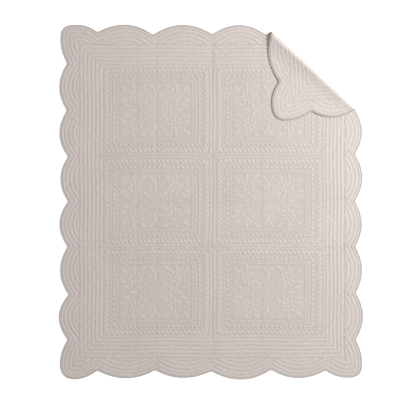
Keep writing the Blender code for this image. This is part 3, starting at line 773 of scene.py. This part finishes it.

# %% [markdown]
# ## The panel motif
#
# In the middle of each panel is a lozenge of small pillows. An eight petalled flower stands towards
# each corner with leaves round it, and sprigs stand between the flowers. It is an ordinary flower and
# leaf pattern, set out in shares of the panel's half width and half height, and the same in
# every block.

# %% Lozenge, flowers and leaves
Flower = namedtuple("Flower", "across up turn size")
Leaf = namedtuple("Leaf", "across up angle length width bend")
FLOWERS = (Flower(-0.55, 0.50, 0.10, 1.00), Flower(0.53, 0.52, 0.30, 0.95),
           Flower(-0.52, -0.52, 0.25, 0.95), Flower(0.55, -0.50, 0.05, 1.00))
CORNER_LEAVES = (
    Leaf(0.86, 0.76, 0.72, 0.046, 0.018, 0.004), Leaf(0.88, 0.40, -0.30, 0.040, 0.016, -0.004),
    Leaf(0.60, 0.90, 1.95, 0.038, 0.016, 0.004), Leaf(0.30, 0.86, 2.50, 0.042, 0.016, -0.005),
    Leaf(0.28, 0.26, 0.75, 0.040, 0.013, 0.004), Leaf(0.80, 0.16, 0.25, 0.044, 0.015, 0.005),
    Leaf(0.40, 0.16, 1.30, 0.034, 0.012, -0.003),
)
SPRIGS = (
    Leaf(0.00, 0.62, 1.571, 0.050, 0.020, 0.0), Leaf(-0.08, 0.84, 2.20, 0.036, 0.015, 0.003),
    Leaf(0.08, 0.84, 0.94, 0.036, 0.015, -0.003), Leaf(0.62, 0.00, 0.00, 0.046, 0.018, 0.0),
    Leaf(-0.13, 0.56, 2.60, 0.032, 0.012, 0.004), Leaf(0.13, 0.56, 0.54, 0.032, 0.012, -0.004),
)
LOZENGE = np.array([0.082, 0.054])
LOZENGE_CELLS = 8
PETALS = 8


def panel_leaves(middle, half):
    """The leaves of one panel: those of one corner and one sprig, turned to all four."""
    made = []
    for across, up in ((1, 1), (-1, 1), (1, -1), (-1, -1)):
        for leaf in CORNER_LEAVES + SPRIGS:
            if leaf.across == 0.0 and across < 0 or leaf.up == 0.0 and up < 0:
                continue
            if leaf in SPRIGS and leaf.across * leaf.up != 0.0 and across < 0:
                continue
            angle = math.atan2(up * math.sin(leaf.angle), across * math.cos(leaf.angle))
            made.append(islands(middle + half * (across * leaf.across, up * leaf.up), angle,
                                leaf.length, leaf.width, 1.0, across * up * leaf.bend))
    return made


pillows = []
petals = []
leaves = []
for column in COLUMNS:
    for row in ROWS:
        low = np.array([column.low + RING_LEFT[6], row.low + RING_LEVEL[6]])
        high = np.array([column.high - RING_RIGHT[6], row.high - RING_LEVEL[6]])
        middle, half = (low + high) / 2.0, (high - low) / 2.0
        steps = (np.arange(LOZENGE_CELLS) + 0.5) / LOZENGE_CELLS * 2.0 - 1.0
        one, other = np.meshgrid(steps, steps)
        places = np.column_stack([(one + other).ravel(), (one - other).ravel()]) / 2.0 * LOZENGE
        pillows.append(islands(middle + places, math.radians(-33.4), 0.0125, 0.0100, 1.0))
        for flower in FLOWERS:
            centre = middle + half * (flower.across, flower.up)
            angle = flower.turn + 2.0 * math.pi * np.arange(PETALS) / PETALS
            spread = np.column_stack([np.cos(angle), np.sin(angle)])
            petals.append(islands(centre + 0.026 * flower.size * spread, angle,
                                  0.030 * flower.size, 0.015 * flower.size, 1.0))
            petals.append(islands(centre, 0.0, 0.013, 0.013, 1.0))
        leaves += panel_leaves(middle, half)
lozenge_pillows = island_piece("lozenge_pillows", joined(pillows))
flower_petals = island_piece("flower_petals", joined(petals))
curved_leaves = island_piece("curved_leaves", joined(leaves))

# %% [markdown]
# ## The cotton
#
# The cloth is a plain cotton weave in a pale warm grey. Its material reads the cloth map, so a
# millimetre of weave is a millimetre anywhere. Three bumps lie over each other: the weave, the small
# puckers that quilting pulls up, and a little unevenness of the thread. The grooves and the low parts
# of the puckers are painted a touch darker, as painted shade.

# %% Material helpers
def new_material(name):
    """A material with only a shader and an output."""
    material = bpy.data.materials.new(name)
    material.use_nodes = True
    return material, material.node_tree, material.node_tree.nodes["Principled BSDF"]


def add(tree, kind, inputs=(), **settings):
    """A node with its settings, and its inputs given as values or as links."""
    node = tree.nodes.new(kind)
    for key, value in settings.items():
        setattr(node, key, value)
    for key, value in dict(inputs).items():
        if isinstance(value, bpy.types.NodeSocket):
            tree.links.new(value, node.inputs[key])
        else:
            node.inputs[key].default_value = value
    return node


def maths(tree, operation, *values):
    """A Math node of one operation, as its output."""
    return add(tree, "ShaderNodeMath", dict(enumerate(values)), operation=operation).outputs[0]


def weave_height(tree, place, pitch):
    """Plain weave: threads both ways, the height a product of two waves a thread apart."""
    parts = add(tree, "ShaderNodeSeparateXYZ", {0: place}).outputs
    turn = 2.0 * math.pi / pitch
    warp = maths(tree, "SINE", maths(tree, "MULTIPLY", parts[0], turn))
    weft = maths(tree, "SINE", maths(tree, "MULTIPLY", parts[1], turn))
    return maths(tree, "MULTIPLY", warp, weft)


def cotton(name, colour, shade, weave_turn, roughness):
    """Cotton cloth: weave, puckers and slubs as bumps; colour mottled, painted shade in grooves and
    pucker dips.
    """
    material, tree, shader = new_material(name)
    place = add(tree, "ShaderNodeUVMap", uv_map="cloth").outputs[0]
    turned = add(tree, "ShaderNodeMapping", {"Vector": place, "Rotation": (0, 0, weave_turn)})
    weave = weave_height(tree, turned.outputs[0], 0.0018)
    pucker = add(tree, "ShaderNodeTexNoise", {"Vector": place, "Scale": 115.0, "Detail": 3.0,
                                              "Roughness": 0.6}).outputs[0]
    slub = add(tree, "ShaderNodeTexNoise", {"Vector": place, "Scale": 420.0, "Detail": 2.0}).outputs[0]
    bump = add(tree, "ShaderNodeBump", {"Strength": 1.0, "Distance": 0.0024, "Height": pucker})
    bump = add(tree, "ShaderNodeBump", {"Strength": 0.8, "Distance": 0.0004, "Height": slub,
                                        "Normal": bump.outputs[0]})
    bump = add(tree, "ShaderNodeBump", {"Strength": 0.5, "Distance": 0.00015, "Height": weave,
                                        "Normal": bump.outputs[0]})
    # Painted shade: where the puff is low, in the stitched grooves, the colour is mixed towards the
    # darker shade colour.
    groove = add(tree, "ShaderNodeAttribute", attribute_name="puff").outputs["Fac"]
    cloudy = add(tree, "ShaderNodeTexNoise", {"Vector": place, "Scale": 5.0, "Detail": 3.0}).outputs[0]
    light = maths(tree, "MULTIPLY_ADD", groove, 0.55, 0.30)
    light = maths(tree, "MULTIPLY_ADD", maths(tree, "SUBTRACT", cloudy, 0.5), 0.5, light)
    # Painted shade: the pucker bump's own height also sets the colour, so the pucker hollows are
    # painted darker.
    light = maths(tree, "MULTIPLY_ADD", maths(tree, "SUBTRACT", pucker, 0.5), 0.8, light)
    mix = add(tree, "ShaderNodeMix", {0: light, 6: shade, 7: colour}, data_type="RGBA")
    tree.links.new(mix.outputs[2], shader.inputs["Base Color"])
    tree.links.new(bump.outputs[0], shader.inputs["Normal"])
    shader.inputs["Roughness"].default_value = roughness
    shader.inputs["Sheen Weight"].default_value = 0.15
    shader.inputs["Sheen Roughness"].default_value = 0.5
    shader.inputs["Specular IOR Level"].default_value = 0.2
    return material


quilt_cotton = cotton("quilt_cotton", (0.660, 0.596, 0.566, 1.0), (0.530, 0.466, 0.434, 1.0),
                      0.0, 0.92)
# Painted shade: the binding gets a darker tone of the same cotton, for the shade on the rolled edge.
binding_cotton_painted_shade = cotton("binding_cotton_painted_shade", (0.560, 0.496, 0.464, 1.0), (0.470, 0.406, 0.374, 1.0),
                        math.radians(45.0), 0.90)
for piece in (face_cloth, reverse_cloth, rope_strokes, band_ovals, lozenge_pillows, flower_petals,
              curved_leaves):
    piece.data.materials.append(quilt_cotton)
binding.data.materials.append(binding_cotton_painted_shade)

# %% [markdown]
# ## The areas of the sheets
#
# The face and the reverse are sheets of cloth that were cut to the same scalloped shape. Their flat
# area is measured on the mesh.

# %% Sheets
def surface_area(piece):
    """Area of all faces of a mesh."""
    areas = np.empty(len(piece.data.polygons))
    piece.data.polygons.foreach_get("area", areas)
    return float(areas.sum())


CUT_AREA = float(abs(np.sum(edge[:, 0] * np.roll(edge[:, 1], -1)
                            - np.roll(edge[:, 0], -1) * edge[:, 1])) / 2.0)
print("cut area", round(CUT_AREA, 3), "face", round(surface_area(face_cloth), 3),
      "reverse", round(surface_area(reverse_cloth), 3))

# %% [markdown]
# ## Floor, light and camera
#
# The photograph looks straight down on a white ground, with light from the right. A near light makes
# the cloth brighter on that side, a far one draws every groove alike, and a wide one overhead fills
# the shadows. A long lens high above gives the same view.

# %% Floor
floor_data = bpy.data.meshes.new("floor")
floor_data.from_pydata([(-6, -6, 0), (6, -6, 0), (6, 6, 0), (-6, 6, 0)], [], [(0, 1, 2, 3)])
floor = bpy.data.objects.new("floor", floor_data)
bpy.context.scene.collection.objects.link(floor)
floor_paint, floor_tree, floor_shader = new_material("floor_paint")
floor_shader.inputs["Base Color"].default_value = (0.92, 0.92, 0.92, 1.0)
floor_shader.inputs["Roughness"].default_value = 0.9
floor_shader.inputs["Emission Color"].default_value = (1.0, 1.0, 1.0, 1.0)
floor_shader.inputs["Emission Strength"].default_value = 0.35
floor_data.materials.append(floor_paint)

# %% Lights and camera
def aimed(name, data, place, target):
    """Adds a light or camera at a place, looking at a target."""
    made = bpy.data.objects.new(name, data)
    bpy.context.scene.collection.objects.link(made)
    made.location = place
    made.rotation_euler = (Vector(target) - Vector(place)).to_track_quat("-Z", "Y").to_euler()
    return made


def area_light(name, place, size, power):
    """A square soft light."""
    data = bpy.data.lights.new(name, "AREA")
    data.size = size
    data.energy = power
    return aimed(name, data, place, (0.0, 0.0, 0.0))


area_light("key", (1.95, 0.85, 1.8), 0.7, 25.0)
area_light("far_key", (6.0, 2.2, 5.0), 1.5, 350.0)
area_light("fill", (0.6, 0.2, 5.0), 4.0, 30.0)
world = bpy.data.worlds.new("studio")
world.use_nodes = True
world.node_tree.nodes["Background"].inputs[0].default_value = (1.0, 1.0, 1.0, 1.0)
world.node_tree.nodes["Background"].inputs[1].default_value = 0.42
bpy.context.scene.world = world
bpy.context.scene.view_settings.view_transform = "Standard"

LENS = 200.0
SPAN = 2.004
camera_data = bpy.data.cameras.new("camera")
camera_data.lens = LENS
camera_data.sensor_width = 36.0
middle = (-0.056, 0.010)
camera = aimed("camera", camera_data, (*middle, SPAN * LENS / 36.0), (*middle, 0.0))
camera.rotation_euler = (0.0, 0.0, 0.0)
bpy.context.scene.camera = camera
